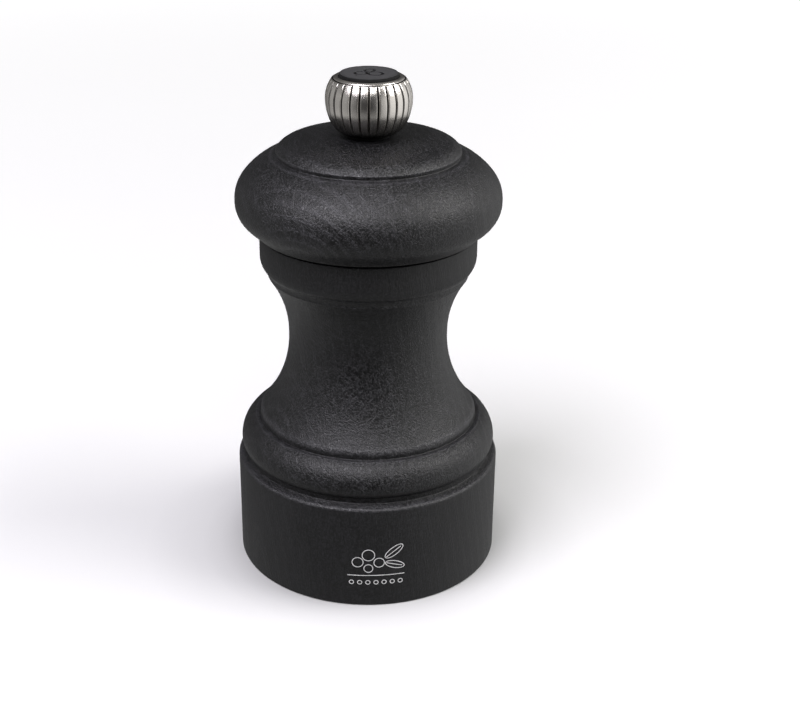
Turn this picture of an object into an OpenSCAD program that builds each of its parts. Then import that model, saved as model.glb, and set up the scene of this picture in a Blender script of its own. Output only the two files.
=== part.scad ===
// Table pepper mill: a turned wooden body and head around a steel burr mechanism,
// with a fluted metal knob that holds the head down and sets the grind.
// Millimetres, +Z up. The origin is the centre of the face that the mill stands on.
// Every height is measured from that face.

/* [Body] */
// Diameter of the straight base
base_d = 53.3; // [52.6:0.1:54.2]
// Height of the base's rim
rim_z = 21.84; // [21.4:0.02:22]
// Diameter of the round bead above the base
bead_d = 51.8; // [51.3:0.1:52.3]
// Height of the bead's widest circle
bead_z = 25.3; // [25.1:0.1:25.5]
// Diameter of the waist
waist_d = 31.7; // [30.5:0.1:32.5]
// Height of the waist's narrowest circle
waist_z = 47.8; // [47.4:0.1:48.2]
// Diameter of the neck ring under the head
neck_d = 42.5; // [42:0.1:43]
// Height of the body's top face
body_top = 69.5; // [69.3:0.1:69.9]

/* [Head] */
// Diameter of the head
head_d = 51.5; // [50.9:0.1:52.1]
// Height of the head's widest circle
head_z = 75.85; // [75.6:0.05:76.1]
// Diameter of the raised disc on top of the head
disc_d = 35.5; // [35:0.1:36]
// Height of the head's flat top, which the knob stands on
head_top = 88; // [87.8:0.1:88.2]
// Gap between the body and the head that turns on it
seam = 0.2; // [0.1:0.05:0.3]

/* [Knob] */
// Diameter of the knob
knob_d = 16.5; // [16.2:0.1:17]
// Height of the knob's widest circle
knob_z = 95.2; // [94.9:0.1:95.4]
// Height of the knob's cap, the highest point of the mill
overall_h = 100; // [99.8:0.1:101]
// Number of flutes round the knob
flutes = 28; // [20:1:36]
// Diameter of the black cap in the knob
cap_d = 11.3; // [11:0.1:11.5]

/* [Mechanism] */
// Width across the flats of the square spindle
spindle_w = 5; // [4.8:0.1:5]
// Diameter of the spindle's threaded end
thread_d = 5; // [4.5:0.1:5]
// Pitch of that thread
thread_pitch = 0.8; // [0.7:0.1:1]
// Diameter of the pepper chamber
chamber_d = 23; // [21:0.5:24]
// Diameter of the fixed grinding ring
ring_d = 28.8; // [28:0.1:29]
// Grinding teeth on the cone and in the ring
teeth = 24; // [16:1:28]
// Sideways gap between cone and ring at rest
grind_gap = 0.38; // [0.35:0.01:0.5]
// Screws that hold the base plate
plate_screws = 3; // [2:1:4]

/* [Hidden] */
$fn = 96;
eps = 0.01;

BLACK_WOOD = [0.13, 0.13, 0.14];
STEEL = [0.66, 0.67, 0.69];
DARK_STEEL = [0.36, 0.36, 0.38];
PEWTER = [0.58, 0.55, 0.51];
BRASS = [0.78, 0.62, 0.32];
BLACK_PLASTIC = [0.06, 0.06, 0.065];
NYLON = [0.87, 0.86, 0.82];

// Outline of the body
foot_round = 0.35;                  // rounding of the lowest edge
rim_round = 0.85;                   // rounding of the base's rim
quirk_r = bead_d / 2 - 1;           // floor of the sunk line between rim and bead
bead_low_r = 2.4;                   // curve under the bead's widest circle
bead_high_r = 5.27;                 // curve above it
lip_r = bead_d / 2 - 3.9;           // lip where the waist's curve ends over the bead
lip_round = 2;
flare_r = 24.6;                     // curve from waist to lip
throat_r = 21.7;                    // curve from waist to neck
neck_round = 4;                     // curve under the neck ring

// Wood cut away inside the body
plate_t = 1;                        // base plate's thickness
plate_z = 3.2;                      // base plate's underside
plate_top = plate_z + plate_t;
recess_r = 19.5;                    // sunk face that the base plate lies against
pocket_r = ring_d / 2 + 0.2;        // bore round the ring and the bridge
pocket_top = 26;
chamber_r = chamber_d / 2;
socket_r = 14;                      // mouth that takes the head's tenon
socket_z = 61.5;

// Head
head_low = body_top + seam;
skirt_r = 22;                       // lowest edge of the head
tenon_r = socket_r - 0.4;
tenon_z = head_low - 6;
head_bore_r = 4.2;                  // clears the square spindle
top_bore_r = thread_d / 2 + 0.3;    // clears its threaded end
top_bore_z = 81;

// Spindle and what it carries
spindle_low = 3;
square_top = 80;
thread_top = 96;
corner_r = spindle_w * 0.69;        // rounded corners of the square bar
bush_bore_r = corner_r + 0.05;
square_hole = spindle_w + 0.25;
clip_z = 3.8;
clip_t = 0.6;
clip_groove_r = 2.4;
cone_low = 5;
cone_top = 14;

// Grinding surfaces: the fine teeth are on the lower cone, the coarse ones that feed them on the upper
fine_low = [9.6, 5.2];
fine_high = [7.8, 8.5];
feed_high = [5, 13];
ring_top = 13.2;
ring_feed_r = 9.4;                  // mouth of the ring
spigot_r = 11.4;                    // end of the ring that centres the base plate

// Bridge over the grinding ring
bridge_t = 1;
bridge_w = 8;
bridge_top = 24;
leg_x = 9.7;                        // inner face of each leg
foot_x = 13.4;                      // end of each foot
rivet_x = 12.1;
boss_r = 7;

// Spring
wire_d = 0.8;
spring_r = 4.6;                     // middle of the wire
washer_t = 0.6;
washer_top = bridge_top - bridge_t - 0.8;
spring_low = cone_top;
spring_high = washer_top - washer_t;
spring_turns = 6;
ring_steps = 20;                    // rings of wire surface in one turn

// Driver plate under the head's tenon
driver_t = 1.2;
driver_r = 12;
driver_screw_x = 8.4;

// Knob
knob_washer_t = 0.5;
knob_low = head_top + knob_washer_t;
knob_foot_round = 4.4;              // the side curves in under the knob,
knob_side_round = 10;               // is nearly straight up to the widest circle
knob_top_round = 6.3;               // and curves in again over it
knob_foot_a = -74;                  // angles at which those curves end
knob_side_a = -26;
knob_top_a = 40;
knob_lip_z = overall_h - 0.6;
cap_seat_z = 97.8;
cap_r = cap_d / 2;
peppercorns = [[-1.5, -0.6, 1.15], [1.2, -1, 1.35], [0.1, 1.6, 0.95]];
flute_w = 0.3;
flute_depth = 0.35;
bush_r = 3.3;
bush_top = 96.6;

// Points of an arc from p to q. With r above 0 its centre lies to the left of the way from p to q,
// so going up an outline that is a bulge, and with r below 0 it is a hollow.
function arc(p, q, r) =
    let (
        d = q - p,
        l = norm(d),
        c = (p + q) / 2 + sign(r) * sqrt(r * r - l * l / 4) * [-d[1], d[0]] / l,
        a = atan2(p[1] - c[1], p[0] - c[0]),
        turn = 2 * asin(l / 2 / abs(r)) * sign(r),
        n = max(3, ceil(abs(turn) * sqrt(abs(r)) / 12))
    )
    [for (i = [0:n]) c + abs(r) * [cos(a + turn * i / n), sin(a + turn * i / n)]];

function on_circle(c, r, a) = c + r * [cos(a), sin(a)];

// Half outline of the solid body, from the axis round the outside and back to the axis
function body_outline() =
    let (
        base_r = base_d / 2,
        bead_r = bead_d / 2,
        waist_r = waist_d / 2,
        neck_r = neck_d / 2,
        rim_c = [base_r - rim_round, rim_z - rim_round],
        bead_start = [quirk_r, bead_z - 2],
        bead_end = [bead_r - 3.1, bead_z + 4.8],
        lip_low = [lip_r, bead_z + 5.3],
        lip_high = [lip_r - 0.49, bead_z + 6.6],
        waist = [waist_r, waist_z],
        throat = [neck_r - 1.5, waist_z + 12.8],
        ring_low = [neck_r - 0.65, waist_z + 14.6],
        ring_side = [neck_r, waist_z + 16.6]
    )
    concat(
        [[0, 0]],
        arc([base_r - foot_round, 0], [base_r, foot_round], foot_round),
        arc([base_r, rim_c[1]], on_circle(rim_c, rim_round, 80), rim_round),
        [[quirk_r, rim_z + 0.36]],
        arc(bead_start, [bead_r, bead_z], bead_low_r),
        arc([bead_r, bead_z], bead_end, bead_high_r),
        [[lip_r, bead_end[1] - 0.05]],
        arc(lip_low, lip_high, lip_round),
        arc(lip_high, waist, -flare_r),
        arc(waist, throat, -throat_r),
        arc(throat, ring_low, -2),
        arc(ring_low, ring_side, neck_round),
        arc([neck_r, body_top - 0.55], [neck_r - 0.2, body_top - 0.35], 0.2),
        [[neck_r - 0.9, body_top - 0.35], [neck_r - 0.9, body_top]],
        [[0, body_top]]
    );

function head_outline() =
    let (
        head_r = head_d / 2,
        disc_r = disc_d / 2,
        under = [head_r - 1.75, head_z - 4.21],
        shoulder = [head_r - 1.44, head_z + 4.34],
        bulge_end = [disc_r + 0.85, head_z + 8.52],
        disc_low = disc_r - 0.12,
        disc_edge = [disc_r, bulge_end[1] + 0.93],
        dome_edge = [disc_r - 2.05, disc_edge[1] + 1.5]
    )
    concat(
        [[0, tenon_z], [tenon_r - 0.4, tenon_z], [tenon_r, tenon_z + 0.4], [tenon_r, head_low]],
        arc([skirt_r - 0.25, head_low], [skirt_r, head_low + 0.25], 0.25),
        arc(under, [head_r, head_z - 0.15], 5.3),
        arc([head_r, head_z + 0.15], shoulder, 6.8),
        arc(shoulder, bulge_end, 13),
        [[disc_low, bulge_end[1] + 0.18]],
        arc(disc_edge, dome_edge, 3.8),
        arc(dome_edge, [5, head_top], 85),
        [[0, head_top]]
    );

// Spreads its children evenly round the Z axis
module around(n, start = 0) {
    for (i = [0:n - 1])
        rotate([0, 0, start + i * 360 / n])
            children();
}

module disc(r, z0, z1) {
    translate([0, 0, z0])
        cylinder(r = r, h = z1 - z0);
}

module square_bar(w, z0, z1) {
    translate([-w / 2, -w / 2, z0])
        cube([w, w, z1 - z0]);
}

// V-shaped cutter along the slope from p to q, turned out of the slope's own plane by skew.
// depth is how far its edge reaches into the surface.
module tooth_cutter(p, q, depth, skew) {
    slope = atan2(q[0] - p[0], q[1] - p[1]);
    side = depth * 2 * sqrt(2);
    translate([(p[0] + q[0]) / 2, 0, (p[1] + q[1]) / 2])
        rotate([0, slope, 0])
            rotate([skew, 0, 0])
                rotate([0, 0, 45])
                    cube([side / 2, side / 2, norm(q - p) * 1.6], center = true);
}

// Wood screw, head down: its head's seat is at z, its point goes up
module wood_screw(z, head_r, head_h, shank_r, length) {
    difference() {
        union() {
            translate([0, 0, z - head_h])
                cylinder(r1 = head_r * 0.72, r2 = head_r, h = head_h * 0.6);
            disc(head_r, z - head_h * 0.4, z);
            disc(shank_r, z - eps, z + length - shank_r * 1.5);
            translate([0, 0, z + length - shank_r * 1.5])
                cylinder(r1 = shank_r, r2 = 0.15, h = shank_r * 1.5);
        }
        for (a = [0, 90])
            rotate([0, 0, a])
                translate([0, 0, z - head_h])
                    cube([head_r * 1.2, head_r * 0.28, head_h * 1.1], center = true);
    }
}

module at_plate_screws() {
    around(plate_screws, 90)
        translate([17.05, 0, 0])
            children();
}

module at_driver_screws() {
    for (side = [-1, 1])
        translate([side * driver_screw_x, 0, 0])
            children();
}

module mill_body() {
    color(BLACK_WOOD)
        difference() {
            rotate_extrude()
                polygon(body_outline());
            rotate_extrude()
                polygon([
                    [0, -1], [recess_r, -1], [recess_r, plate_top], [pocket_r, plate_top],
                    [pocket_r, pocket_top], [chamber_r, pocket_top + 2.5], [chamber_r, socket_z - 2],
                    [socket_r, socket_z], [socket_r, body_top + 1], [0, body_top + 1]
                ]);
            at_plate_screws()
                disc(1.25, plate_top - eps, plate_top + 9);
        }
}

module base_plate() {
    color(STEEL)
        difference() {
            disc(recess_r - 0.3, plate_z, plate_top);
            disc(spigot_r + 0.1, plate_z - 1, plate_top + 1);
            at_plate_screws()
                disc(1.5, plate_z - 1, plate_top + 1);
        }
}

module base_plate_screws() {
    color(STEEL)
        at_plate_screws()
            wood_screw(plate_z, 2.3, 1.3, 1.2, 9);
}

module grinding_ring() {
    gap = [grind_gap, 0];
    throat = fine_high + gap;
    mouth = [ring_feed_r, ring_top];
    color(DARK_STEEL)
        difference() {
            union() {
                disc(ring_d / 2, plate_top, ring_top);
                disc(spigot_r, plate_z + 0.2, plate_top + eps);
            }
            rotate_extrude()
                polygon([
                    [0, 0], [10.5, plate_z - 1], [10.5, 4.2], fine_low + gap, throat, mouth,
                    [mouth[0] + 0.5, ring_top + 1], [0, ring_top + 1]
                ]);
            around(teeth)
                tooth_cutter(fine_low + gap, throat, 0.45, 22);
            around(9)
                tooth_cutter(throat + [0.2, 0.6], mouth, 0.9, 32);
            for (side = [-1, 1])
                translate([side * rivet_x, 0, 0])
                    disc(1, ring_top - 4, ring_top + 1);
        }
}

module bridge() {
    color(STEEL)
        difference() {
            union() {
                translate([-leg_x - bridge_t, -bridge_w / 2, bridge_top - bridge_t])
                    cube([2 * (leg_x + bridge_t), bridge_w, bridge_t]);
                disc(boss_r, bridge_top - bridge_t, bridge_top);
                for (side = [-1, 1]) {
                    translate([side * (leg_x + bridge_t / 2) - bridge_t / 2, -bridge_w / 2, ring_top])
                        cube([bridge_t, bridge_w, bridge_top - ring_top]);
                    translate([side * (leg_x + foot_x) / 2 - (foot_x - leg_x) / 2, -bridge_w / 2, ring_top])
                        cube([foot_x - leg_x, bridge_w, bridge_t]);
                }
            }
            disc(5.05, bridge_top - 2, bridge_top + 1);
            for (side = [-1, 1])
                translate([side * rivet_x, 0, 0])
                    disc(1, ring_top - 1, ring_top + 2);
        }
}

module bridge_rivets() {
    color(STEEL)
        for (side = [-1, 1])
            translate([side * rivet_x, 0, 0]) {
                disc(0.98, ring_top - 3.8, ring_top + bridge_t + eps);
                translate([0, 0, ring_top + bridge_t])
                    cylinder(r1 = 1.3, r2 = 0.9, h = 0.7);
            }
}

module bridge_bush() {
    color(NYLON)
        difference() {
            union() {
                disc(5, bridge_top - bridge_t - eps, bridge_top + 0.3);
                disc(6.3, washer_top, bridge_top - bridge_t);
            }
            disc(bush_bore_r, washer_top - 1, bridge_top + 1);
        }
}

module thrust_washer() {
    color(STEEL)
        difference() {
            disc(5.6, spring_high, washer_top);
            square_bar(square_hole, spring_high - 1, washer_top + 1);
        }
}

// Height of the wire's middle after t turns of the coil: the first and last turn lie almost on each
// other, and the ones between are spread evenly
function coil_z(t) =
    let (
        closed = wire_d + 0.06,
        low = spring_low + wire_d / 2,
        open = (spring_high - spring_low - wire_d - 2 * closed) / (spring_turns - 2),
        middle = min(spring_turns - 2, max(0, t - 1))
    )
    low + (t - middle) * closed + middle * open;

module burr_spring() {
    sides = 8;
    rings = spring_turns * ring_steps;
    points = [
        for (i = [0:rings])
            for (k = [0:sides - 1])
                let (
                    a = i * 360 / ring_steps,
                    b = k * 360 / sides,
                    r = spring_r + wire_d / 2 * cos(b)
                )
                [r * cos(a), r * sin(a), coil_z(i / ring_steps) + wire_d / 2 * sin(b)]
    ];
    faces = concat(
        [[for (k = [0:sides - 1]) k]],
        [
            for (i = [0:rings - 1])
                for (k = [0:sides - 1])
                    let (k2 = (k + 1) % sides)
                    [i * sides + k, (i + 1) * sides + k, (i + 1) * sides + k2, i * sides + k2]
        ],
        [[for (k = [0:sides - 1]) rings * sides + sides - 1 - k]]
    );
    color(STEEL)
        polyhedron(points, faces);
}

module grinding_cone() {
    color(DARK_STEEL)
        difference() {
            rotate_extrude()
                polygon([
                    [0, cone_low], [fine_low[0] - 0.4, cone_low], fine_low, fine_high, feed_high,
                    [feed_high[0], cone_top], [0, cone_top]
                ]);
            around(teeth)
                tooth_cutter(fine_low, fine_high, 0.45, -22);
            around(8)
                tooth_cutter(fine_high + [0, 0.4], feed_high, 0.9, -32);
            square_bar(spindle_w + 0.1, cone_low - 1, cone_top + 1);
        }
}

module cone_washer() {
    color(STEEL)
        difference() {
            disc(5.5, clip_z + clip_t, cone_low);
            disc(corner_r + 0.1, clip_z, cone_low + 1);
        }
}

module retaining_clip() {
    color(STEEL)
        difference() {
            disc(4.8, clip_z, clip_z + clip_t);
            disc(clip_groove_r + 0.1, clip_z - 1, clip_z + 2);
            translate([0, -1.6, clip_z - 1])
                cube([10, 3.2, 3]);
            around(2, 90)
                translate([3.6, 0, 0])
                    disc(0.8, clip_z - 1, clip_z + 2);
        }
}

// Rings of thread between the heights z0 and z1, as the outline of a turned rod
function thread_outline(r, z0, z1) =
    let (
        n = floor((z1 - z0) / thread_pitch),
        root = r - 0.54 * thread_pitch
    )
    concat(
        [[0, z0 - eps], [r, z0 - eps]],
        [
            for (i = [0:n - 1])
                for (p = [[r, 0.1], [root, 0.45], [root, 0.6], [r, 0.95]])
                    [p[0], z0 + (i + p[1]) * thread_pitch]
        ],
        [[r - 0.4, z1], [0, z1]]
    );

module spindle() {
    color(STEEL)
        difference() {
            union() {
                intersection() {
                    square_bar(spindle_w, spindle_low, square_top);
                    disc(corner_r, spindle_low - 1, square_top + 1);
                }
                rotate_extrude()
                    polygon(thread_outline(thread_d / 2, square_top, thread_top));
            }
            difference() {
                disc(10, clip_z, clip_z + clip_t);
                disc(clip_groove_r, clip_z - 1, clip_z + 2);
            }
        }
}

module head() {
    color(BLACK_WOOD)
        difference() {
            rotate_extrude()
                polygon(head_outline());
            disc(head_bore_r, tenon_z - 1, top_bore_z);
            disc(top_bore_r, top_bore_z - eps, head_top + 1);
            at_driver_screws()
                disc(1, tenon_z - eps, tenon_z + 7);
        }
}

module driver_plate() {
    color(STEEL)
        difference() {
            disc(driver_r, tenon_z - driver_t, tenon_z);
            square_bar(square_hole, tenon_z - 3, tenon_z + 1);
            at_driver_screws()
                disc(1.3, tenon_z - 3, tenon_z + 1);
        }
}

module driver_plate_screws() {
    color(STEEL)
        at_driver_screws()
            wood_screw(tenon_z - driver_t, 1.9, 1, 0.95, 8);
}

module knob_washer() {
    color(BLACK_PLASTIC)
        difference() {
            disc(4.1, head_top, knob_low);
            disc(top_bore_r, head_top - 1, knob_low + 1);
        }
}

// The knob's side as three curves that run into each other, moved out by grow
function knob_side(grow, foot_a = knob_foot_a) =
    let (
        top_c = [knob_d / 2 - knob_top_round, knob_z],
        side_c = [knob_d / 2 - knob_side_round, knob_z],
        foot_c = on_circle(side_c, knob_side_round - knob_foot_round, knob_side_a),
        low = [on_circle(foot_c, knob_foot_round + grow, foot_a),
               on_circle(foot_c, knob_foot_round + grow, knob_side_a)],
        wide = [knob_d / 2 + grow, knob_z],
        high = on_circle(top_c, knob_top_round + grow, knob_top_a)
    )
    concat(
        arc(low[0], low[1], knob_foot_round + grow),
        arc(low[1], wide, knob_side_round + grow),
        arc(wide, high, knob_top_round + grow)
    );

function knob_outline() =
    let (
        side = knob_side(0),
        top = side[len(side) - 1]
    )
    concat(
        [[0, knob_low], [side[0][0] - 0.3, knob_low]],
        side,
        [[top[0] - 0.22, top[1] + 0.05]],
        arc([top[0] - 0.08, top[1] + 0.15], [cap_r + 0.35, knob_lip_z], 0.5),
        [[0, knob_lip_z]]
    );

// Narrow flute down the knob's side
module flute_cutter() {
    floor_line = knob_side(-flute_depth, knob_foot_a + 8);
    rotate([90, 0, 0])
        translate([0, 0, -flute_w / 2])
            linear_extrude(height = flute_w)
                polygon(concat(
                    [for (i = [len(floor_line) - 1:-1:0]) floor_line[i]],
                    [floor_line[0] + [0.3, -0.9], [knob_d, knob_z - 6], [knob_d, knob_z + 5]]
                ));
}

module knob() {
    color(PEWTER)
        difference() {
            rotate_extrude()
                polygon(knob_outline());
            disc(bush_r, knob_low - 1, bush_top);
            disc(cap_r + 0.1, cap_seat_z, overall_h + 1);
            disc(2.1, bush_top - 1, cap_seat_z + 1);
            around(flutes)
                flute_cutter();
        }
}

module knob_bush() {
    color(BRASS)
        difference() {
            disc(bush_r - 0.02, knob_low + 0.1, bush_top);
            disc(thread_d / 2 + 0.08, knob_low - 1, bush_top + 1);
        }
}

module knob_cap() {
    color(BLACK_PLASTIC)
        difference() {
            union() {
                rotate_extrude()
                    polygon([
                        [0, cap_seat_z], [cap_r, cap_seat_z], [cap_r, overall_h - 0.35],
                        [cap_r - 0.45, overall_h], [0, overall_h]
                    ]);
                disc(2, bush_top + 0.1, cap_seat_z + eps);
            }
            for (c = peppercorns)
                translate([c[0], c[1], 0])
                    difference() {
                        disc(c[2] + 0.1, overall_h - 0.12, overall_h + 1);
                        disc(c[2] - 0.1, overall_h - 1, overall_h + 2);
                    }
        }
}

mill_body();
base_plate();
base_plate_screws();
grinding_ring();
bridge();
bridge_rivets();
bridge_bush();
thrust_washer();
burr_spring();
grinding_cone();
cone_washer();
retaining_clip();
spindle();
head();
driver_plate();
driver_plate_screws();
knob_washer();
knob();
knob_bush();
knob_cap();
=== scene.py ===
"""A small black wooden pepper mill: the turned wood, the fluted knob and the steel inside it.

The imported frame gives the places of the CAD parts, which the outlines start from. Outlines are in
millimetres, on the half plane of radius and height, and are turned round the Z axis into solids.
"""

import math

import bpy
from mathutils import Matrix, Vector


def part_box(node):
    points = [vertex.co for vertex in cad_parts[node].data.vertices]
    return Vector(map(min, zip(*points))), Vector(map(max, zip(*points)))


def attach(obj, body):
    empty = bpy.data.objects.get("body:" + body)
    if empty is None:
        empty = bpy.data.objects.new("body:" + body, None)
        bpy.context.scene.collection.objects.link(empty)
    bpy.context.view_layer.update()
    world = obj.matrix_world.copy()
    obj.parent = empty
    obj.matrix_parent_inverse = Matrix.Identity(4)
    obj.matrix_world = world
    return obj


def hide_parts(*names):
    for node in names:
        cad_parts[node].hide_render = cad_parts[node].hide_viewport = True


bl_info = {
    "name": "Pepper mill",
    "version": (1, 0, 0),
    "blender": (4, 5, 0),
    "location": "3D View > Sidebar > Pepper mill",
    "description": "Models a turned pepper mill and finishes its steel parts",
    "category": "Add Mesh",
}

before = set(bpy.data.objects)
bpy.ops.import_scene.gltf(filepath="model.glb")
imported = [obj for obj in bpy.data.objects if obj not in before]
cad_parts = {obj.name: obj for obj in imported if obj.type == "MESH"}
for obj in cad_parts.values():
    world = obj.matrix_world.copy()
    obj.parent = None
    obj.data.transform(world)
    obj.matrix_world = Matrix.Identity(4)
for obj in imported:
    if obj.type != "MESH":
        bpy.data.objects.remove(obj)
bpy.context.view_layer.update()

MM = 0.001
TURN = 2 * math.pi


def span(node):
    """Largest radius, lowest and highest height of a CAD node, in millimetres."""
    low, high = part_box(node)
    return high.x / MM, low.z / MM, high.z / MM


# ---------------------------------------------------------------- settings


class TurnedWoodSettings(bpy.types.PropertyGroup):
    """Sizes of the wooden body and head, in millimetres, and their stain"""

    bead_z: bpy.props.FloatProperty(
        name="Bead height", description="Height of the bead's widest circle", default=25.3)
    bead_inset: bpy.props.FloatProperty(
        name="Bead inset", description="How far the bead stands in from the base", default=0.75)
    waist_z: bpy.props.FloatProperty(
        name="Waist height", description="Height of the narrowest circle", default=47.8)
    waist_radius: bpy.props.FloatProperty(
        name="Waist radius", description="Radius of the narrowest circle", default=15.85)
    neck_radius: bpy.props.FloatProperty(
        name="Neck radius", description="Radius of the neck ring under the head", default=21.25)
    disc_radius: bpy.props.FloatProperty(
        name="Disc radius", description="Radius of the raised disc on the head", default=17.75)
    crisp: bpy.props.FloatProperty(
        name="Edge rounding", description="Rounding of the turned edges", default=0.18)
    stain: bpy.props.FloatVectorProperty(
        name="Stain", description="Colour of the dark stain", subtype="COLOR",
        size=3, default=(0.0072, 0.0071, 0.0078), min=0, max=1)


class KnobSettings(bpy.types.PropertyGroup):
    """The fluted metal knob and its black cap"""

    flutes: bpy.props.IntProperty(
        name="Flutes", description="Number of flutes round the knob", default=28, min=8, max=60)
    flute_depth: bpy.props.FloatProperty(
        name="Flute depth", description="Depth of a flute, in millimetres", default=0.34)
    metal: bpy.props.FloatVectorProperty(
        name="Metal", description="Colour of the plating", subtype="COLOR",
        size=3, default=(0.74, 0.705, 0.66), min=0, max=1)


class MarkSettings(bpy.types.PropertyGroup):
    """The small mark printed on the base"""

    height: bpy.props.FloatProperty(
        name="Height", description="Height of the mark's middle, in millimetres", default=9.1)
    turn: bpy.props.FloatProperty(
        name="Turn", description="How far the mark is turned from the front", subtype="ANGLE",
        default=math.radians(3.7))
    line: bpy.props.FloatProperty(
        name="Line", description="Width of a printed line, in millimetres", default=0.15)
    ink: bpy.props.FloatVectorProperty(
        name="Ink", description="Colour of the ink", subtype="COLOR",
        size=3, default=(0.88, 0.88, 0.88), min=0, max=1)


class StageSettings(bpy.types.PropertyGroup):
    """Camera and floor"""

    distance: bpy.props.FloatProperty(
        name="Distance", description="Camera's distance in front of the mill", unit="LENGTH",
        default=0.263)
    camera_height: bpy.props.FloatProperty(
        name="Camera height", description="Camera's height over the floor", unit="LENGTH",
        default=0.163)
    pitch: bpy.props.FloatProperty(
        name="Pitch", description="How far the camera looks down", subtype="ANGLE",
        default=math.radians(24.66))
    roll: bpy.props.FloatProperty(
        name="Roll", description="How far the camera is turned about its view", subtype="ANGLE",
        default=math.radians(0.2))
    lens: bpy.props.FloatProperty(
        name="Lens", description="Focal length, in millimetres", default=64.35)
    shift: bpy.props.FloatProperty(
        name="Shift", description="How far the picture is shifted sideways", default=0.040)
    floor: bpy.props.FloatVectorProperty(
        name="Floor", description="Colour of the floor", subtype="COLOR",
        size=3, default=(0.76, 0.76, 0.76), min=0, max=1)


# ---------------------------------------------------------------- outlines


def arc(p, q, radius, step=3.0):
    """Points of an arc from p to q, with its centre left of the way there if radius is above 0."""
    dx, dz = q[0] - p[0], q[1] - p[1]
    chord = math.hypot(dx, dz)
    side = math.copysign(1, radius)
    rise = side * math.sqrt(radius * radius - chord * chord / 4) / chord
    cx, cz = (p[0] + q[0]) / 2 - dz * rise, (p[1] + q[1]) / 2 + dx * rise
    start = math.atan2(p[1] - cz, p[0] - cx)
    turn = 2 * math.asin(chord / 2 / abs(radius)) * side
    count = max(3, math.ceil(math.degrees(abs(turn)) / step))
    angles = [start + turn * i / count for i in range(count + 1)]
    return [(cx + abs(radius) * math.cos(a), cz + abs(radius) * math.sin(a)) for a in angles]


def tidy(points, gap=1e-4):
    """The points without the ones that repeat their neighbour."""
    kept = [points[0]]
    for p in points[1:]:
        if math.dist(p, kept[-1]) > gap:
            kept.append(p)
    if math.dist(kept[0], kept[-1]) <= gap:
        kept.pop()
    return kept


def soften(points, radius, closed=True, sharpest=18.0):
    """Rounds each corner of an outline that turns by more than sharpest degrees."""
    points = tidy(points)
    count = len(points)
    out = []
    for i, p in enumerate(points):
        if not closed and i in (0, count - 1):
            out.append(p)
            continue
        a, b = points[i - 1], points[(i + 1) % count]
        before = (p[0] - a[0], p[1] - a[1])
        after = (b[0] - p[0], b[1] - p[1])
        la, lb = math.hypot(*before), math.hypot(*after)
        cross = before[0] * after[1] - before[1] * after[0]
        turn = math.atan2(cross, before[0] * after[0] + before[1] * after[1])
        if abs(math.degrees(turn)) < sharpest:
            out.append(p)
            continue
        cut = min(radius * math.tan(abs(turn) / 2), 0.45 * la, 0.45 * lb)
        start = (p[0] - before[0] / la * cut, p[1] - before[1] / la * cut)
        end = (p[0] + after[0] / lb * cut, p[1] + after[1] / lb * cut)
        round_r = math.copysign(cut / math.tan(abs(turn) / 2), turn)
        out += arc(start, end, round_r, step=22)
    return tidy(out)


# ---------------------------------------------------------------- modelling


def deselect():
    if bpy.context.mode != "OBJECT":
        bpy.ops.object.mode_set(mode="OBJECT")
    bpy.ops.object.select_all(action="DESELECT")


def name_piece(name):
    piece = bpy.context.object
    piece.name = piece.data.name = name
    return piece


def draw_outline(points, closed):
    """Starts from a plane merged into one corner and extrudes it along the points, in edit mode."""
    first = points[0]
    bpy.ops.mesh.primitive_plane_add(size=MM, location=(first[0] * MM, 0, first[1] * MM))
    bpy.ops.object.transform_apply(location=True, rotation=True, scale=True)
    bpy.ops.object.mode_set(mode="EDIT")
    bpy.ops.mesh.select_all(action="SELECT")
    bpy.ops.mesh.merge(type="CENTER")
    route = list(points[1:]) + ([first] if closed else [])
    at = first
    for p in route:
        step = ((p[0] - at[0]) * MM, 0, (p[1] - at[1]) * MM)
        bpy.ops.mesh.extrude_region_move(TRANSFORM_OT_translate={"value": step})
        at = p
    bpy.ops.mesh.select_all(action="SELECT")
    bpy.ops.mesh.remove_doubles(threshold=1e-6)


def lathe(name, points, steps=192, closed=True):
    """Turns an outline in millimetres round the Z axis into a solid."""
    deselect()
    draw_outline(points, closed)
    bpy.ops.mesh.select_all(action="SELECT")
    bpy.ops.mesh.spin(steps=steps, angle=TURN, center=(0, 0, 0), axis=(0, 0, 1))
    bpy.ops.mesh.select_all(action="SELECT")
    bpy.ops.mesh.remove_doubles(threshold=2e-6)
    bpy.ops.mesh.normals_make_consistent(inside=False)
    bpy.ops.object.mode_set(mode="OBJECT")
    bpy.ops.object.shade_smooth_by_angle(angle=math.radians(32))
    return name_piece(name)


def finish_piece(piece, material, body, slot, *nodes):
    piece.data.materials.clear()
    piece.data.materials.append(material)
    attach(piece, body)
    if nodes:
        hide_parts(*nodes)


# ---------------------------------------------------------------- shader kit


class Wire:
    """A value on a shader socket that ordinary arithmetic works on."""

    def __init__(self, paint, socket):
        self.paint = paint
        self.socket = socket

    def maths(self, operation, *others, swap=False):
        """A maths node on this value and the others, which come first when swapped."""
        values = [self, *others]
        if swap:
            values.reverse()
        return self.paint.node("ShaderNodeMath", {"operation": operation}, dict(enumerate(values)))

    def __add__(self, other):
        return self.maths("ADD", other)

    __radd__ = __add__

    def __sub__(self, other):
        return self.maths("SUBTRACT", other)

    def __rsub__(self, other):
        return self.maths("SUBTRACT", other, swap=True)

    def __mul__(self, other):
        return self.maths("MULTIPLY", other)

    __rmul__ = __mul__

    def __truediv__(self, other):
        return self.maths("DIVIDE", other)

    def __pow__(self, other):
        return self.maths("POWER", other)


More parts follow.
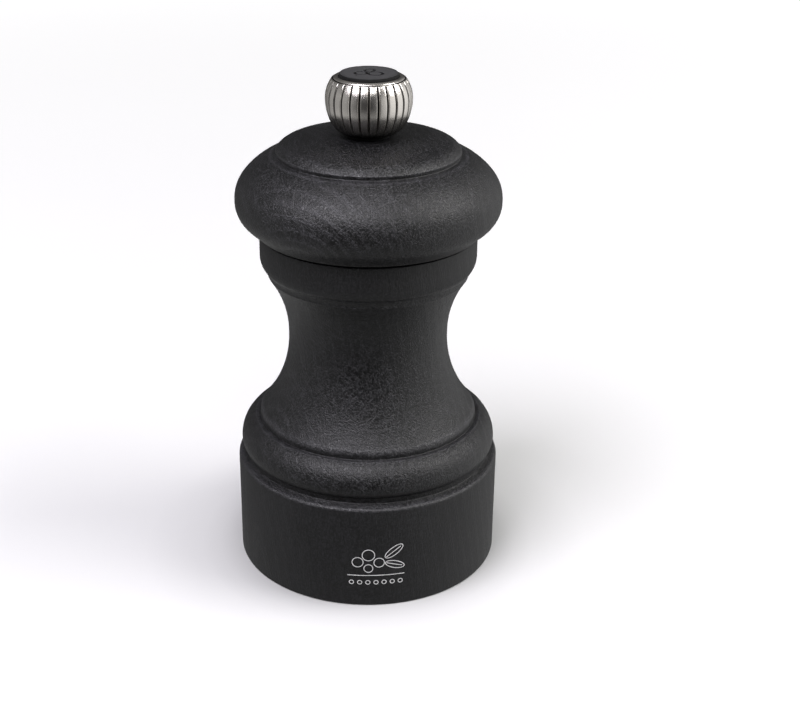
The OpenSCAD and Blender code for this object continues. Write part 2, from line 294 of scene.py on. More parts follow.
class Nodes:
    """Adds nodes to a tree."""

    def __init__(self, tree):
        self.tree = tree

    def node(self, kind, settings=None, values=None, out=0):
        """Adds a node, sets its settings first and then its sockets, and returns an output."""
        made = self.tree.nodes.new(kind)
        for key, value in (settings or {}).items():
            if key == "stops":
                self.stops(made.color_ramp, value)
            else:
                setattr(made, key, value)
        for key, value in (values or {}).items():
            self.put(made.inputs[key], value)
        return Wire(self, made.outputs[out])

    def put(self, socket, value):
        if isinstance(value, Wire):
            self.tree.links.new(value.socket, socket)
        else:
            socket.default_value = value

    @staticmethod
    def stops(ramp, stops):
        while len(ramp.elements) < len(stops):
            ramp.elements.new(0.5)
        for element, (place, value) in zip(ramp.elements, stops):
            element.position = place
            element.color = (value, value, value, 1)

    def split(self, vector):
        parts = self.node("ShaderNodeSeparateXYZ", {}, {"Vector": vector})
        return [Wire(self, parts.socket.node.outputs[axis]) for axis in "XYZ"]

    def curve(self, value, stops):
        """A value through a ramp of (place, grey) stops."""
        ramp = self.node("ShaderNodeValToRGB", {"stops": stops}, {"Fac": value})
        return self.node("ShaderNodeSeparateColor", {}, {"Color": ramp})

    def mix(self, share, a, b):
        """Colour a where share is 0 and b where it is 1."""
        settings = {"data_type": "RGBA"}
        return self.node("ShaderNodeMix", settings, {0: share, 6: a, 7: b}, out=2)


class Paint(Nodes):
    """One material and the nodes that make it."""

    def __init__(self, name):
        self.material = bpy.data.materials.new(name)
        self.material.use_nodes = True
        super().__init__(self.material.node_tree)
        self.tree.nodes.clear()
        self.shader = self.tree.nodes.new("ShaderNodeBsdfPrincipled")
        out = self.tree.nodes.new("ShaderNodeOutputMaterial")
        self.tree.links.new(self.shader.outputs["BSDF"], out.inputs["Surface"])

    def set(self, **values):
        """Sets or links sockets of the shader, whose names have _ for a space."""
        for key, value in values.items():
            self.put(self.shader.inputs[key.replace("_", " ")], value)

    def place(self, scale=(1, 1, 1), offset=(0, 0, 0), turn=(0, 0, 0)):
        """The piece's own coordinates in millimetres, turned and moved, then scaled by axis."""
        kind = {"vector_type": "POINT"}
        coords = self.node("ShaderNodeTexCoord", out="Object")
        coords = self.node("ShaderNodeMapping", kind, {
            "Vector": coords, "Location": offset, "Rotation": turn,
            "Scale": (1 / MM, 1 / MM, 1 / MM)})
        return self.node("ShaderNodeMapping", kind, {"Vector": coords, "Scale": scale})

    def band(self, value, low, high):
        """1 between low and high and 0 outside, with soft edges half a unit wide."""
        middle, half = (low + high) / 2, (high - low) / 2
        away = (value - middle).maths("ABSOLUTE") - half
        return self.curve(away * -1 + 0.5, [(0.25, 0.0), (0.75, 1.0)])

    def noise(self, where, scale, detail, roughness):
        return self.node("ShaderNodeTexNoise", {}, {
            "Vector": where, "Scale": scale, "Detail": detail, "Roughness": roughness})

    def bump(self, height, depth, strength):
        """A normal from a height between 0 and 1, for a depth in millimetres."""
        return self.node("ShaderNodeBump", {}, {
            "Strength": strength, "Distance": depth * MM, "Height": height})


def rgba(colour, gain=1.0):
    return (colour[0] * gain, colour[1] * gain, colour[2] * gain, 1)


# ---------------------------------------------------------------- materials


def black_wood(name, stain, upright, edges, figure=None):
    """Black-stained, satin-waxed wood, its grain along Z and its rings round a pith outside it.

    Long fibres show on the upright (low, high) heights, and the cut ends of the pores elsewhere.
    Edges are circles of (radius, height, width), in millimetres, where a lighter line is painted
    in: worn stain and a painted highlight.
    Figure is the middle of a patch at the front where the rings are cut into arches.
    """
    p = Paint(name)
    x, y, z = p.split(p.place())
    radius = (x * x + y * y) ** 0.5
    fibres = p.noise(p.place(scale=(1, 1, 0.05)), 4.6, 4, 0.65)
    dashes = p.noise(p.place(scale=(1, 1, 0.16)), 6.5, 3, 0.6)
    speck = p.noise(p.place(), 2.5, 2, 0.75)
    cloud = p.noise(p.place(scale=(1, 1, 0.6)), 0.16, 3, 0.55)
    rings = p.node("ShaderNodeTexWave", {
        "wave_type": "RINGS", "rings_direction": "Z", "wave_profile": "SIN"}, {
        "Vector": p.place(offset=(31, 22, 0), turn=(0.10, 0.16, 0)), "Scale": 0.17,
        "Distortion": 2.4, "Detail": 3.0, "Detail Scale": 0.35, "Detail Roughness": 0.55})
    ring_lines = p.curve(rings, [(0.0, 0.0), (0.70, 0.10), (0.94, 1.0), (1.0, 0.25)])
    arches = 0
    if figure:
        patch_radius = 14
        beside, below = 5, 11
        arches = p.node("ShaderNodeTexWave", {
            "wave_type": "RINGS", "rings_direction": "Y", "wave_profile": "SIN"}, {
            "Vector": p.place(offset=(beside - figure[0], 0, below - figure[2])), "Scale": 0.16,
            "Distortion": 1.6, "Detail": 3.0, "Detail Scale": 0.6, "Detail Roughness": 0.6})
        away = ((x - figure[0]) ** 2 + (y - figure[1]) ** 2 + (z - figure[2]) ** 2) ** 0.5
        patch = away / patch_radius
        arches = (p.curve(arches, [(0.55, 0.0), (0.92, 1.0), (1.0, 0.5)])
                  * p.curve(patch, [(0.35, 1.0), (1.0, 0.0)]))
    fibre_lines = p.curve(fibres, [(0.36, 0.0), (0.50, 0.45), (0.62, 1.0)])
    dash_lines = p.curve(dashes, [(0.38, 0.0), (0.60, 1.0)])
    specks = p.curve(speck, [(0.36, 0.0), (0.50, 0.34), (0.62, 1.0)])
    scratches = 0
    for turn, size in (((0.5, 0.9, 0.3), 0.9), ((0.2, -0.8, -0.5), 1.1), ((1.1, 0.3, 0.8), 0.8)):
        line = p.noise(p.place(scale=(1, 1, 0.02), turn=turn), size, 1, 0.4)
        scratches = p.curve(line, [(0.478, 0.0), (0.5, 1.0), (0.522, 0.0)]) + scratches
    straight = 0
    for low, high in upright:
        straight = p.band(z, low, high) + straight
    turned = 1 - straight
    # Worn stain and painted highlight lines along the turned edges, lighter in the tone and a
    # little glossier.
    wear_and_edge_highlight = 0
    for ring, height, width in edges:
        away = ((radius - ring) ** 2 + (z - height) ** 2) ** 0.5 / width
        wear_and_edge_highlight = p.curve(away, [(0.3, 1.0), (1.0, 0.0)]) * (speck * 0.8 + 0.35) + wear_and_edge_highlight
    tone = (specks * (turned * 0.08 + 0.30) + (fibre_lines * 0.08 + dash_lines * 0.12) * straight
            + ring_lines * turned * 0.10 + arches * (specks * 0.40 + 0.22) + cloud * 0.16 - 0.19
            + scratches * turned * 0.26 + wear_and_edge_highlight * 0.4)
    height = (specks * (turned + 0.5) + (fibre_lines * 0.4 + dash_lines * 0.4) * straight
              + scratches * turned * 0.5 + ring_lines * 0.5 + arches * 0.5)
    p.set(
        Base_Color=p.mix(tone, rgba(stain, 0.25), rgba(stain, 6.5)),
        Roughness=0.34 + straight * 0.18 + specks * 0.15 - ring_lines * 0.05 - wear_and_edge_highlight * 0.05,
        Specular_IOR_Level=0.46,
        Normal=p.bump(height, 0.034, 1.0),
    )
    return p.material


def pewter(name, metal, flutes, low, collar):
    """Bright metal, with shade painted dark in its flutes and in the line under its collar, and a
    painted dark reflection towards its foot.

    Low is the foot's height, and collar the (radius, height) of the line, in millimetres.
    """
    p = Paint(name)
    x, y, z = p.split(p.place())
    grain = p.noise(p.place(), 5.5, 3, 0.6)
    wear = p.noise(p.place(), 1.3, 3, 0.6)
    worn = p.curve(wear, [(0.38, 0.0), (0.62, 1.0)])
    turn = y.maths("ARCTAN2", x) * (flutes / TURN) + 0.5
    away = (turn.maths("FLOORED_MODULO", 1.0) - 0.5).maths("ABSOLUTE")
    up = (z - low) / 10
    # Painted shade in the flutes' grooves, fading out towards the foot.
    flute = p.curve(away, [(0.06, 1.0), (0.11, 0.0)]) * p.curve(up, [(0.12, 0.0), (0.45, 1.0)])
    # Painted dark reflection of the head: the metal is darker towards the foot.
    out_of_foot_shade = p.curve(up, [(0.10, 0.04), (0.26, 0.25), (0.50, 1.0)])
    line = ((((x * x + y * y) ** 0.5 - collar[0]) ** 2 + (z - collar[1]) ** 2) ** 0.5) * 5
    # Painted shade in the flutes and in the line under the collar.
    painted_shade = (flute * p.curve(collar[1] - z, [(0.0, 0.0), (0.15, 1.0)])
            + p.curve(line, [(0.5, 1.0), (1.0, 0.0)]))
    metal_with_foot_shade = p.mix(out_of_foot_shade * (grain * 0.5 + 0.75), rgba(metal, 0.06), rgba(metal, 1.05))
    p.set(
        Base_Color=p.mix(painted_shade, metal_with_foot_shade, (0.01, 0.009, 0.008, 1)),
        Metallic=1.0,
        Roughness=0.12 + grain * 0.16 + worn * 0.05 + painted_shade * 0.3,
        Normal=p.bump(grain, 0.018, 0.9),
    )
    return p.material


def black_plastic(name, face):
    """Satin black plastic, with shade painted near black below the height of its top face, in
    engravings and on the sides.
    """
    p = Paint(name)
    _, _, z = p.split(p.place())
    grain = p.noise(p.place(), 9, 3, 0.6)
    # Painted shade below the top face: the engraved lines and the sides sunk in the knob.
    painted_recess_shade = p.curve(face - z, [(0.04, 0.0), (0.10, 1.0)])
    top = p.mix(grain, (0.022, 0.022, 0.023, 1), (0.072, 0.072, 0.074, 1))
    p.set(
        Base_Color=p.mix(painted_recess_shade, top, (0.001, 0.001, 0.001, 1)),
        Roughness=0.36 + grain * 0.12 + painted_recess_shade * 0.4,
        Specular_IOR_Level=0.3,
        Normal=p.bump(grain, 0.006, 0.5),
    )
    return p.material


def turned_steel(name, colour, roughness):
    """Steel with fine tool lines round the Z axis and a little wear."""
    p = Paint(name)
    lines = p.noise(p.place(scale=(0.1, 0.1, 1)), 9, 3, 0.6)
    scratch = p.noise(p.place(scale=(1, 0.08, 1), turn=(0, 0, 0.6)), 8, 3, 0.65)
    cloud = p.noise(p.place(), 0.35, 3, 0.6)
    p.set(
        Base_Color=p.mix(cloud, rgba(colour, 0.72), rgba(colour, 1.12)),
        Metallic=1.0,
        Roughness=roughness + lines * 0.12 + scratch * 0.12 - 0.1,
        Normal=p.bump(lines + scratch, 0.01, 0.5),
    )
    return p.material


def nylon(name):
    p = Paint(name)
    cloud = p.noise(p.place(), 0.6, 3, 0.6)
    p.set(
        Base_Color=p.mix(cloud, (0.62, 0.60, 0.54, 1), (0.74, 0.72, 0.66, 1)),
        Roughness=0.4 + cloud * 0.15,
        Subsurface_Weight=0.1,
        Normal=p.bump(cloud, 0.02, 0.4),
    )
    return p.material


def ink(name, colour):
    p = Paint(name)
    worn = p.noise(p.place(), 4.5, 3, 0.7)
    p.set(
        Base_Color=p.mix(worn, rgba(colour, 0.72), rgba(colour, 1.1)),
        Roughness=0.55 + worn * 0.15,
        Normal=p.bump(worn, 0.008, 0.5),
    )
    return p.material


def floor_paint(name, colour):
    """Pale paper with a painted contact shadow close to the mill, that glows far away where the
    lamps don't reach.
    """
    p = Paint(name)
    x, y, _ = p.split(p.place())
    away = (x * x + y * y) ** 0.5 / 1000
    far = p.curve(away, [(0.05, 0.05), (0.35, 0.38), (0.9, 0.9)])
    # Painted contact shadow: the paper is darker close to the mill's base.
    painted_shadow_fade = p.curve(away, [(0.026, 0.0), (0.033, 0.7), (0.048, 1.0)])
    p.set(
        Base_Color=p.mix(painted_shadow_fade, rgba(colour, 0.6), rgba(colour, 1.0)),
        Roughness=0.7,
        Specular_IOR_Level=0.2,
        Emission_Color=p.mix(far, (0, 0, 0, 1), (1, 1, 1, 1)),
        Emission_Strength=1.0,
    )
    return p.material


# ---------------------------------------------------------------- pieces


def body_outline(wood):
    """The body's outside, then its bores from the top face down."""
    base, _, top = span("mill_body")
    ring, _, _ = span("grinding_ring")
    _, _, plate_top = span("base_plate")
    base -= 0.02
    bead = base - wood.bead_inset
    bead_z, waist_z, neck = wood.bead_z, wood.waist_z, wood.neck_radius
    lip = bead - 3.9
    rim_z = bead_z - 3.46
    quirk = bead - 1
    waist = (wood.waist_radius, waist_z)
    throat = (neck - 1.5, waist_z + 12.8)
    cove_end = (neck - 0.65, waist_z + 14.6)
    bead_end = (bead - 3.1, bead_z + 4.8)
    lip_low, lip_high = (lip, bead_z + 5.3), (lip - 0.49, bead_z + 6.6)
    outside = (
        arc((base - 0.35, 0), (base, 0.35), 0.35, 15)
        + arc((base, rim_z - 0.85), (base - 0.7, rim_z - 0.02), 0.85, 8)
        + [(quirk, rim_z + 0.36)]
        + arc((quirk, bead_z - 2), (bead, bead_z), 2.4)
        + arc((bead, bead_z), bead_end, 5.27)
        + [(lip, bead_end[1] - 0.05)]
        + arc(lip_low, lip_high, 2)
        + arc(lip_high, waist, -24.6, 1.2)
        + arc(waist, throat, -21.7, 1.2)
        + arc(throat, cove_end, -2, 6)
        + arc(cove_end, (neck, waist_z + 16.6), 4)
        + arc((neck, top - 0.55), (neck - 0.2, top - 0.35), 0.2, 15)
        + [(neck - 0.9, top - 0.35), (neck - 0.9, top)]
    )
    pocket = ring + 0.2
    inside = [
        (14, top), (14, top - 8), (11.5, top - 10), (11.5, 28.5), (pocket, 26), (pocket, plate_top),
        (19.5, plate_top), (19.5, 0),
    ]
    return soften(outside + inside, wood.crisp)


def head_outline(wood):
    """The head's tenon and outside, then its stepped bore from the top down."""
    head, tenon_z, top = span("head")
    disc = wood.disc_radius
    skirt_z = tenon_z + 6
    head_z = skirt_z + 6.15
    under = (head - 1.75, head_z - 4.21)
    shoulder = (head - 1.44, head_z + 4.34)
    bulge_end = (disc + 0.85, head_z + 8.52)
    disc_edge = (disc, bulge_end[1] + 0.93)
    dome_edge = (disc - 2.05, disc_edge[1] + 1.5)
    outline = (
        [(4.2, tenon_z), (13.2, tenon_z), (13.6, tenon_z + 0.4), (13.6, skirt_z)]
        + arc((21.75, skirt_z), (22, skirt_z + 0.25), 0.25, 15)
        + arc(under, (head, head_z - 0.15), 5.3)
        + arc((head, head_z + 0.15), shoulder, 6.8)
        + arc(shoulder, bulge_end, 13, 2)
        + [(disc - 0.12, bulge_end[1] + 0.18)]
        + arc(disc_edge, dome_edge, 3.8)
        + arc(dome_edge, (5, top), 85, 0.8)
        + [(2.8, top), (2.8, 81), (4.2, 81)]
    )
    return soften(outline, wood.crisp)


class MILL_OT_body(bpy.types.Operator):
    """Turns the mill's body from base to neck"""

    bl_idname = "mill.body"
    bl_label = "Body"

    def execute(self, context):
        wood = context.scene.mill_wood
        base, _, top = span("mill_body")
        bead = base - wood.bead_inset
        upright = [(-1, wood.bead_z - 4), (wood.waist_z + 15, top + 1)]
        # Circles of worn stain and painted highlight at the base rim, the bead, the lip and the
        # cove.
        edges = [
            (base - 0.5, wood.bead_z - 3.6, 0.75),
            (bead - 3.2, wood.bead_z + 4.8, 0.55),
            (bead - 4.2, wood.bead_z + 6.3, 0.9),
            (wood.neck_radius - 1.2, wood.waist_z + 14.4, 0.6),
        ]
        piece = lathe("turned_body", body_outline(wood), 256)
        paint = black_wood("black_wood_body", wood.stain, upright, edges)
        finish_piece(piece, paint, "base", "black_wood", "mill_body")
        return {"FINISHED"}


class MILL_OT_head(bpy.types.Operator):
    """Turns the mill's head with its raised disc"""

    bl_idname = "mill.head"
    bl_label = "Head"

    def execute(self, context):
        wood = context.scene.mill_wood
        disc, tenon_z = wood.disc_radius, span("head")[1]
        # Circles of worn stain and painted highlight at the disc's edge and the bulge's inner edge.
        edges = [(disc, tenon_z + 21.65, 0.32), (disc + 1.0, tenon_z + 20.6, 0.5)]
        tenon_side = (50, 68)
        figure = (-8, -20, 79)
        piece = lathe("turned_head", head_outline(wood), 256)
        paint = black_wood("black_wood_head", wood.stain, [tenon_side], edges, figure)
        finish_piece(piece, paint, "head", "black_wood", "head")
        return {"FINISHED"}


def knob_outline():
    """The knob's fluted side, from the foot up to the line under the collar."""
    knob, _, _ = span("knob")
    wide_z = 95.2
    top_r, side_r, foot_r = 6.3, 10, 4.4
    foot_bend, foot_end, top_end = -26, -74, 37
    top_c, side_c = (knob - top_r, wide_z), (knob - side_r, wide_z)

    def on(centre, radius, degrees):
        a = math.radians(degrees)
        return centre[0] + radius * math.cos(a), centre[1] + radius * math.sin(a)

    foot_c = on(side_c, side_r - foot_r, foot_bend)
    bend = on(foot_c, foot_r, foot_bend)
    return tidy(
        arc(on(foot_c, foot_r, foot_end), bend, foot_r, 4)
        + arc(bend, (knob, wide_z), side_r, 2.5)
        + arc((knob, wide_z), on(top_c, top_r, top_end), top_r, 3)
    )


class MILL_OT_knob(bpy.types.Operator):
    """Models one rib of the fluted knob, and copies it round the axis"""

    bl_idname = "mill.knob"
    bl_label = "Knob"

    def execute(self, context):
        settings = context.scene.mill_knob
        _, low, lip_z = span("knob")
        cap, cap_low, _ = span("knob_cap")
        side = knob_outline()
        top = side[-1]
        lip, bore = cap + 0.35, cap + 0.1
        outline = soften(
            side
            + [(top[0] - 0.16, top[1] - 0.1), (top[0] - 0.28, top[1] - 0.08)]
            + arc((top[0] - 0.3, top[1] + 0.06), (lip, lip_z - 0.1), 1.0, 8)
            + [(bore, lip_z - 0.22), (bore, cap_low), (3.3, cap_low), (3.3, low), (4.2, low)],
            0.12, sharpest=25)
        columns = 20
        rib = TURN / settings.flutes
        deselect()
        draw_outline(outline, True)
        bpy.ops.mesh.select_all(action="SELECT")
        bpy.ops.mesh.spin(steps=columns, angle=rib, center=(0, 0, 0), axis=(0, 0, 1))
        self.cut_flute(settings, columns, rib, low, top[1])
        bpy.ops.mesh.select_all(action="SELECT")
        bpy.ops.mesh.spin(
            steps=settings.flutes - 1, dupli=True, angle=TURN - rib, center=(0, 0, 0),
            axis=(0, 0, 1))
        bpy.ops.mesh.select_all(action="SELECT")
        bpy.ops.mesh.remove_doubles(threshold=4e-6)
        bpy.ops.mesh.normals_make_consistent(inside=False)
        bpy.ops.object.mode_set(mode="OBJECT")
        bpy.ops.object.shade_smooth_by_angle(angle=math.radians(38))
        # The line under the collar, where shade is painted dark into the metal.
        groove = (top[0] - 0.2, top[1] - 0.02)
        metal = pewter("pewter", settings.metal, settings.flutes, low, groove)
        finish_piece(name_piece("fluted_knob"), metal, "knob", "pewter", "knob")
        return {"FINISHED"}

    def cut_flute(self, settings, columns, rib, low, high):
        """Draws the columns at both ends of a rib in towards the axis, ring by ring."""
        depths = {0: 1.0, 1: 0.86, 2: 0.40, 3: 0.06}
        mesh = bpy.context.object.data
        bpy.ops.object.mode_set(mode="OBJECT")
        rings = sorted({round(v.co.z / MM, 3) for v in mesh.vertices})
        bpy.ops.object.mode_set(mode="EDIT")
        bpy.ops.mesh.select_mode(type="VERT")
        for ring in rings:
            if not low + 0.1 < ring < high - 0.12:
                continue
            fade = min(1, (ring - low) / 3.0) ** 0.7 * min(1, (high - ring) / 0.45) ** 0.5
            for column, share in depths.items():
                depth = settings.flute_depth * fade * share
                bpy.ops.mesh.select_all(action="DESELECT")
                bpy.ops.object.mode_set(mode="OBJECT")
                radius = 0
                for v in mesh.vertices:
                    r = math.hypot(v.co.x, v.co.y) / MM
                    if abs(v.co.z / MM - ring) > 0.002 or r < 3.9:
                        continue
                    turn = math.atan2(v.co.y, v.co.x) / rib * columns
                    nearest = min(abs(turn - column), abs(turn + column - columns),
                                  abs(turn + columns - column), abs(turn + column))
                    if nearest < 0.3:
                        v.select = True
                        radius = r
                bpy.ops.object.mode_set(mode="EDIT")
                if radius:
                    s = 1 - depth / radius
                    bpy.ops.transform.resize(value=(s, s, 1), center_override=(0, 0, 0))


class MILL_OT_cap(bpy.types.Operator):
    """Models the black cap in the knob, with three engraved peppercorns"""

    bl_idname = "mill.cap"
    bl_label = "Cap"

    def execute(self, context):
        cap, low, top = span("knob_cap")
        seat = low + 1.1
        outline = soften([
            (0, low), (2, low), (2, seat), (cap, seat), (cap, top - 0.42), (cap - 0.2, top - 0.06),
            (cap * 0.6, top - 0.01), (0, top)], 0.05, closed=False)
        piece = lathe("knob_cap_disc", outline, 128, closed=False)
        for x, y, radius in ((-1.5, -0.6, 1.15), (1.2, -1.0, 1.35), (0.1, 1.6, 0.95)):
            self.engrave(piece, x, y, radius, top)
        paint = black_plastic("black_plastic_cap", top)
        finish_piece(piece, paint, "knob", "black_plastic", "knob_cap")
        return {"FINISHED"}

    def engrave(self, piece, x, y, radius, top):
        """Cuts a fine ring into the top face."""
        groove, lift = 0.3, 0.02
        deselect()
        bpy.ops.mesh.primitive_torus_add(
            location=(x * MM, y * MM, (top + lift) * MM), major_radius=radius * MM,
            minor_radius=groove * MM, major_segments=64, minor_segments=12)
        cutter = bpy.context.object
        deselect()
        piece.select_set(True)
        bpy.context.view_layer.objects.active = piece
        cut = piece.modifiers.new("engraving", "BOOLEAN")
        cut.operation = "DIFFERENCE"
        cut.solver = "EXACT"
        cut.object = cutter
        bpy.ops.object.modifier_apply(modifier=cut.name)
        bpy.data.objects.remove(cutter)
        bpy.ops.object.shade_smooth_by_angle(angle=math.radians(32))


class MILL_OT_mark(bpy.types.Operator):
    """Draws the printed sprig of peppercorns on the base"""

    bl_idname = "mill.mark"
    bl_label = "Mark"

    def execute(self, context):
        settings = context.scene.mill_mark
        self.line = settings.line
        self.height = settings.height
        self.front = -span("mill_body")[0] - 1
        self.strokes = []
        corns = (-3.6, 0.9, 1.15), (-1.5, 2.5, 1.3), (0.6, 0.8, 1.1), (-1.5, -0.5, 0.95)
        for x, z, radius in corns:
            self.ring(x, z, radius, radius, 0)
        self.ring(3.5, 3.2, 2.2, 0.9, 38)
        self.ring(3.7, 0.2, 2.0, 0.85, -16)
        self.bar(3.4, 3.1, 3.6, 38)
        self.bar(3.6, 0.25, 3.2, -16)
        self.bar(0.0, -2.1, 11.2, 0)
        for x in (-4.8, -3.2, -1.6, 0.0, 1.6, 3.2, 4.8):
            self.ring(x, -3.7, 0.5, 0.5, 0)
        deselect()
        for stroke in self.strokes:
            stroke.select_set(True)
        bpy.context.view_layer.objects.active = self.strokes[0]
        bpy.ops.object.join()
        piece = self.wrap(settings)
        finish_piece(piece, ink("ink", settings.ink), "base", "black_wood")
        return {"FINISHED"}

    def lay(self, x, z, turn):
        """Stands the shape just drawn up in front of the base, and keeps it as a stroke."""
        bpy.ops.object.mode_set(mode="OBJECT")
        stroke = bpy.context.object
        stroke.rotation_euler = (math.pi / 2, -math.radians(turn), 0)
        stroke.location = (x * MM, self.front * MM, (self.height + z) * MM)
        bpy.ops.object.transform_apply(location=True, rotation=True, scale=True)
        self.strokes.append(stroke)

    def ring(self, x, z, wide, tall, turn):
        """A thin circle, or a leaf when it is wider than it is tall."""
        deselect()
        bpy.ops.mesh.primitive_circle_add(vertices=48, radius=MM)
        bpy.ops.object.mode_set(mode="EDIT")
        bpy.ops.mesh.select_all(action="SELECT")
        bpy.ops.transform.resize(value=(wide, tall, 1), center_override=(0, 0, 0))
        bpy.ops.mesh.extrude_edges_move()
        inner = (1 - self.line / wide, 1 - self.line / tall, 1)
        bpy.ops.transform.resize(value=inner, center_override=(0, 0, 0))
        self.lay(x, z, turn)

    def bar(self, x, z, length, turn):
        """A thin straight line, in short lengths that can follow the base's curve."""
        deselect()
        bpy.ops.mesh.primitive_plane_add(size=MM)
        bpy.ops.object.mode_set(mode="EDIT")
        bpy.ops.mesh.select_all(action="SELECT")
        bpy.ops.transform.resize(value=(length, self.line, 1), center_override=(0, 0, 0))
        bpy.ops.mesh.subdivide(number_cuts=max(1, math.ceil(length / 0.5)))
        self.lay(x, z, turn)

    def wrap(self, settings):
        """Lays the strokes on the turned base and gives them thickness."""
        piece = name_piece("printed_mark")
        wrap = piece.modifiers.new("wrap", "SHRINKWRAP")
        wrap.target = bpy.data.objects["turned_body"]
        wrap.wrap_method = "PROJECT"
        wrap.use_project_y = True
        wrap.use_positive_direction = True
        wrap.use_negative_direction = False
        wrap.wrap_mode = "ABOVE_SURFACE"
        wrap.offset = 0.014 * MM
        bpy.ops.object.modifier_apply(modifier=wrap.name)
        thick = piece.modifiers.new("thickness", "SOLIDIFY")
        thick.thickness = 0.03 * MM
        thick.offset = -1
        bpy.ops.object.modifier_apply(modifier=thick.name)
        bpy.ops.object.mode_set(mode="EDIT")
        bpy.ops.mesh.select_all(action="SELECT")
        bpy.ops.transform.rotate(value=-settings.turn, orient_axis="Z", center_override=(0, 0, 0))
        bpy.ops.mesh.normals_make_consistent(inside=False)
        bpy.ops.object.mode_set(mode="OBJECT")
        return piece


class MILL_OT_mechanism(bpy.types.Operator):
    """Finishes the steel, brass and plastic parts inside the mill"""

    bl_idname = "mill.mechanism"
    bl_label = "Mechanism"

    def execute(self, context):
        steel = turned_steel("steel", (0.60, 0.61, 0.63), 0.30)
        burr = turned_steel("burr_steel", (0.22, 0.22, 0.235), 0.36)
        brass = turned_steel("brass", (0.72, 0.52, 0.22), 0.28)
        washer_top = 88.5
        finishes = {
            steel: ["base_plate", "base_plate_screws", "bridge", "bridge_rivets", "thrust_washer",
                    "burr_spring", "cone_washer", "retaining_clip", "spindle", "driver_plate",
                    "driver_plate_screws"],
            burr: ["grinding_ring", "grinding_cone"],
            brass: ["knob_bush"],
            nylon("nylon"): ["bridge_bush"],
            black_plastic("black_plastic_washer", washer_top): ["knob_washer"],
        }
        for material, nodes in finishes.items():
            for node in nodes:
                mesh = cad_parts[node].data
                mesh.materials.clear()
                mesh.materials.append(material)
        return {"FINISHED"}


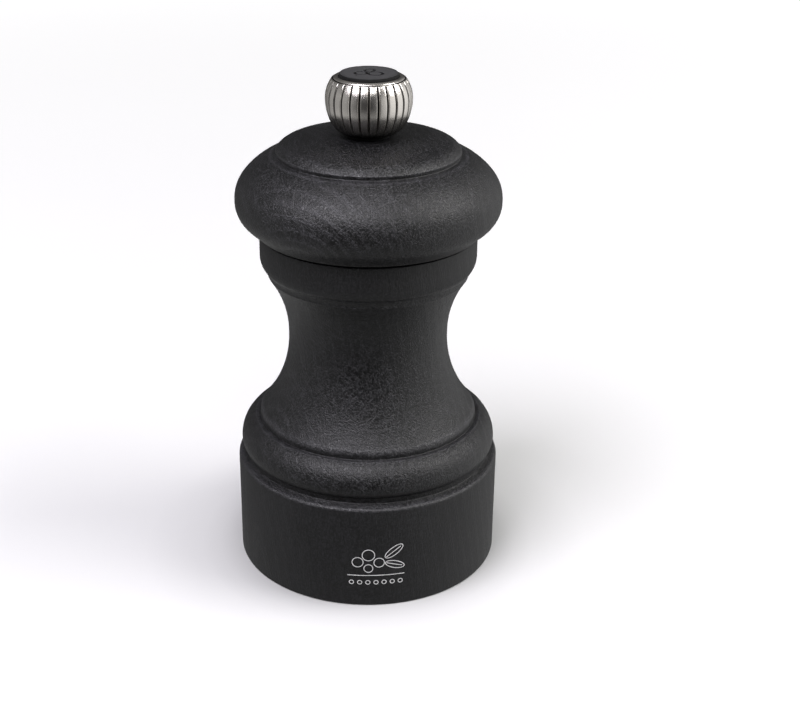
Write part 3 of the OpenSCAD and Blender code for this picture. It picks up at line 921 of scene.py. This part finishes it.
class MILL_OT_stage(bpy.types.Operator):
    """Sets up the floor and its backdrop, the soft lights and the camera"""

    bl_idname = "mill.stage"
    bl_label = "Stage"

    def execute(self, context):
        settings = context.scene.mill_stage
        floor_radius, floor_drop = 4, 0.05 * MM
        wall_radius, wall_height, wall_middle = 3.9, 6, 2.9
        deselect()
        bpy.ops.mesh.primitive_circle_add(
            vertices=96, radius=floor_radius, location=(0, 0, -floor_drop), fill_type="NGON")
        bpy.ops.object.transform_apply(location=True, rotation=True, scale=True)
        floor = name_piece("floor")
        bpy.ops.mesh.primitive_cylinder_add(
            vertices=96, radius=wall_radius, depth=wall_height, location=(0, 0, wall_middle),
            end_fill_type="NOTHING")
        bpy.ops.object.transform_apply(location=True, rotation=True, scale=True)
        backdrop = name_piece("backdrop")
        backdrop.visible_shadow = False
        paint = floor_paint("floor_paint", settings.floor)
        for piece in (floor, backdrop):
            piece.data.materials.append(paint)
            piece.visible_diffuse = False
            piece.visible_glossy = False
        target = (0, 0, 0.06)
        self.light("key", (-0.24, -0.26, 0.56), target, 0.38, 4.1, (0.955, 0.925, 1.0))
        self.light("right", (0.44, -0.06, 0.46), target, 0.34, 2.5, (1.0, 0.985, 0.97))
        self.light("front", (0.06, -0.42, 0.58), target, 0.26, 0.7, (1.0, 1.0, 1.0))
        self.world(context.scene)
        self.camera(context.scene, settings)
        context.scene.view_settings.view_transform = "Standard"
        return {"FINISHED"}

    def light(self, name, place, target, size, power, colour):
        bpy.ops.object.light_add(type="AREA", location=place)
        lamp = name_piece(name)
        lamp.data.shape = "SQUARE"
        lamp.data.size = size
        lamp.data.energy = power
        lamp.data.color = colour
        way = [t - p for t, p in zip(target, place)]
        flat = math.hypot(way[0], way[1])
        heading = math.atan2(way[1], way[0]) - math.pi / 2
        lamp.rotation_euler = (math.atan2(flat, -way[2]), 0, heading)

    def world(self, scene):
        """A dim room, brighter below, overhead, behind the mill and on its right."""
        world = bpy.data.worlds.new("studio")
        world.use_nodes = True
        nodes = Nodes(world.node_tree)
        way = nodes.node("ShaderNodeTexCoord", out="Generated")
        side, back, up = nodes.split(way)
        room = nodes.curve(up * 0.5 + 0.5, [
            (0.0, 0.55), (0.12, 0.5), (0.24, 0.29), (0.35, 0.035), (0.55, 0.04), (0.78, 0.08),
            (0.95, 0.22)])
        behind = nodes.curve(back * 0.5 + 0.5, [(0.08, 0.62), (0.35, 0.85), (0.9, 0.85)])
        right = nodes.curve(side * 0.5 + 0.5, [
            (0.05, 0.34), (0.30, 0.03), (0.50, 0.0), (0.65, 0.02), (0.95, 0.95)])
        level = nodes.curve(up * 0.5 + 0.5, [(0.12, 0.0), (0.34, 0.9), (0.6, 1.0), (0.8, 0.2)])
        background = world.node_tree.nodes["Background"]
        nodes.put(background.inputs["Color"], (1, 1, 1, 1))
        nodes.put(background.inputs["Strength"], room * behind * 1.2 + right * level)
        scene.world = world

    def camera(self, scene, settings):
        bpy.ops.object.camera_add(
            location=(0, -settings.distance, settings.camera_height),
            rotation=(math.pi / 2 - settings.pitch, 0, 0))
        camera = name_piece("camera")
        camera.rotation_euler.rotate_axis("Z", settings.roll)
        camera.data.sensor_width = 36
        camera.data.lens = settings.lens
        camera.data.shift_x = settings.shift
        camera.data.clip_start = 0.01
        scene.camera = camera


class MILL_PT_panel(bpy.types.Panel):
    """Lists the mill's pieces"""

    bl_label = "Pepper mill"
    bl_idname = "MILL_PT_panel"
    bl_space_type = "VIEW_3D"
    bl_region_type = "UI"
    bl_category = "Pepper mill"

    def draw(self, context):
        for operator in OPERATORS:
            self.layout.operator(operator.bl_idname)
        for owner in SETTINGS:
            box = self.layout.box()
            for key in SETTINGS[owner].__annotations__:
                box.prop(getattr(context.scene, owner), key)


OPERATORS = [
    MILL_OT_stage, MILL_OT_body, MILL_OT_mark, MILL_OT_head, MILL_OT_knob, MILL_OT_cap,
    MILL_OT_mechanism,
]
SETTINGS = {
    "mill_wood": TurnedWoodSettings,
    "mill_knob": KnobSettings,
    "mill_mark": MarkSettings,
    "mill_stage": StageSettings,
}


def register():
    for group in SETTINGS.values():
        bpy.utils.register_class(group)
    for owner, group in SETTINGS.items():
        setattr(bpy.types.Scene, owner, bpy.props.PointerProperty(type=group))
    for shown in OPERATORS + [MILL_PT_panel]:
        bpy.utils.register_class(shown)


def unregister():
    for shown in reversed(OPERATORS + [MILL_PT_panel]):
        bpy.utils.unregister_class(shown)
    for owner in SETTINGS:
        delattr(bpy.types.Scene, owner)
    for group in SETTINGS.values():
        bpy.utils.unregister_class(group)


def main():
    register()
    bpy.ops.mill.stage()
    bpy.ops.mill.body()
    bpy.ops.mill.mark()
    bpy.ops.mill.head()
    bpy.ops.mill.knob()
    bpy.ops.mill.cap()
    bpy.ops.mill.mechanism()


if __name__ == "__main__":
    main()
